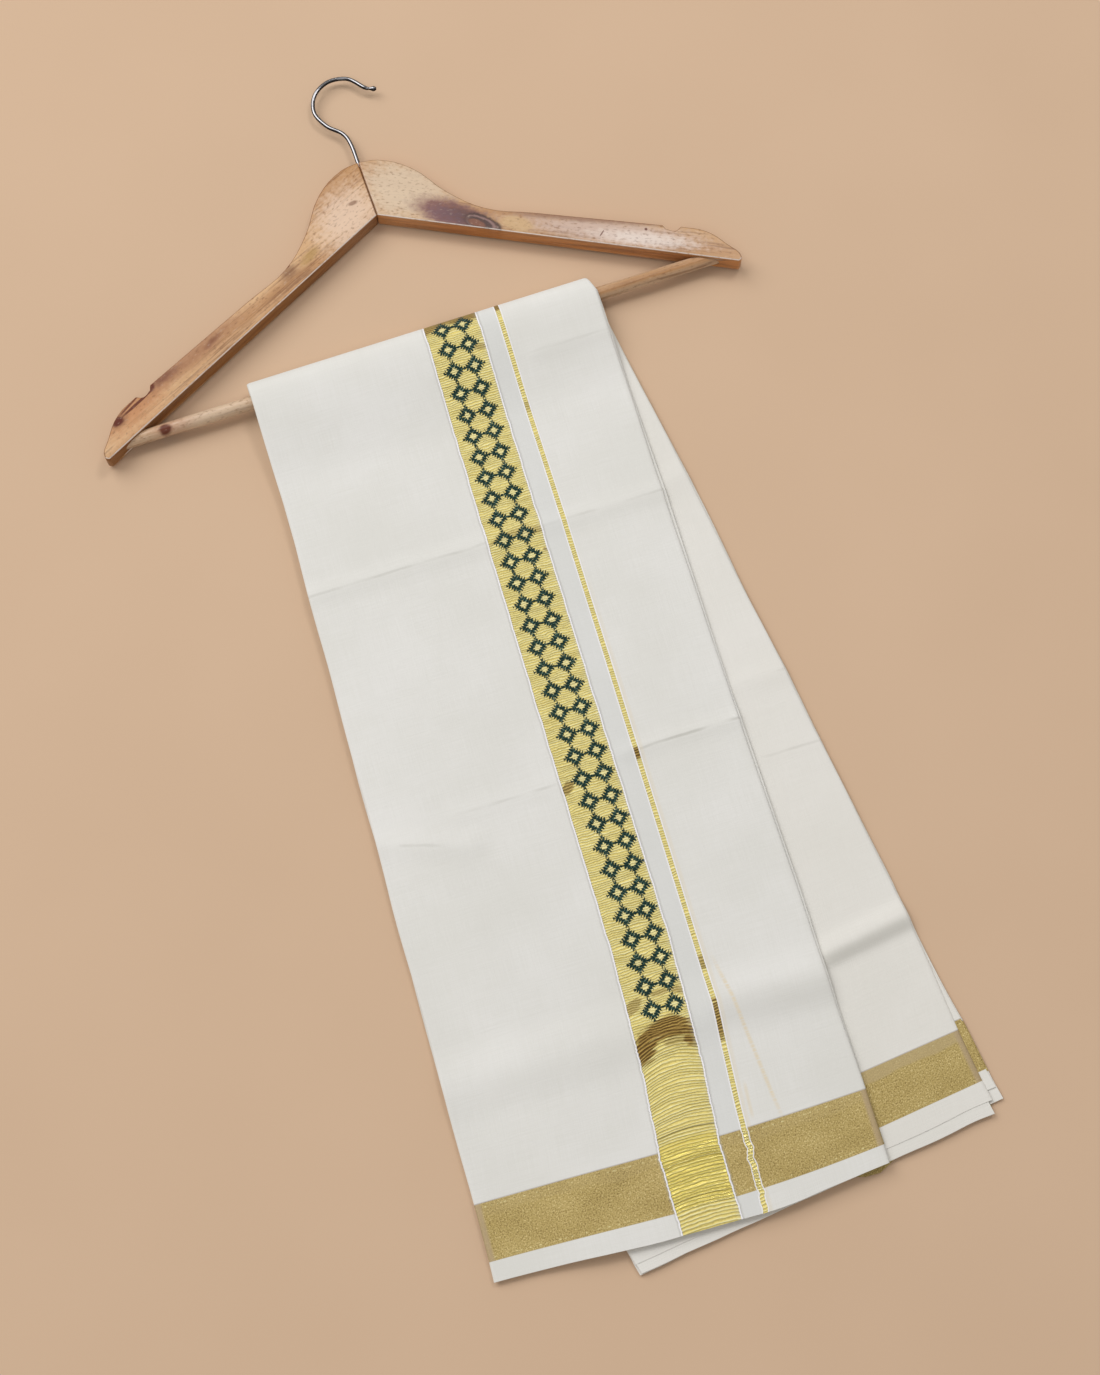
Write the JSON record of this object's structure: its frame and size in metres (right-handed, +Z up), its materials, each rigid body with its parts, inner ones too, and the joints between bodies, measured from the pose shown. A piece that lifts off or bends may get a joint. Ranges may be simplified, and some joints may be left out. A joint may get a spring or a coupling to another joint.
{
  "type": "dhoti cloth folded over a wooden trouser hanger",
  "caption": "Cotton dhoti with woven gold borders, folded lengthwise and laid double over the rod of a wooden trouser hanger, lying flat on a surface.",
  "frame": {"origin": "middle of the box round the whole part, on the surface that the cloth lies on", "axes": "+Z up off the surface, +Y from the cloth's hems to the hanger's hook, +X along the trouser rod to the side that the back half is fanned to"},
  "size_m": [0.4472, 0.8342, 0.0172],
  "materials": {
    "cotton": "off-white handloom cotton with gold borders and small green motifs",
    "wood": "pale pine, sanded and lightly varnished, with knots and a dark burl",
    "steel": "bright plated wire"
  },
  "bodies": {
    "root": {"front_face": "cotton", "front_layers": "cotton", "fold_face": "cotton", "fold_layers": "cotton", "back_face": "cotton", "back_layers": "cotton", "arm_left": "wood", "arm_right": "wood", "trouser_rod": "wood", "hook": "steel"}
  },
  "joints": []
}
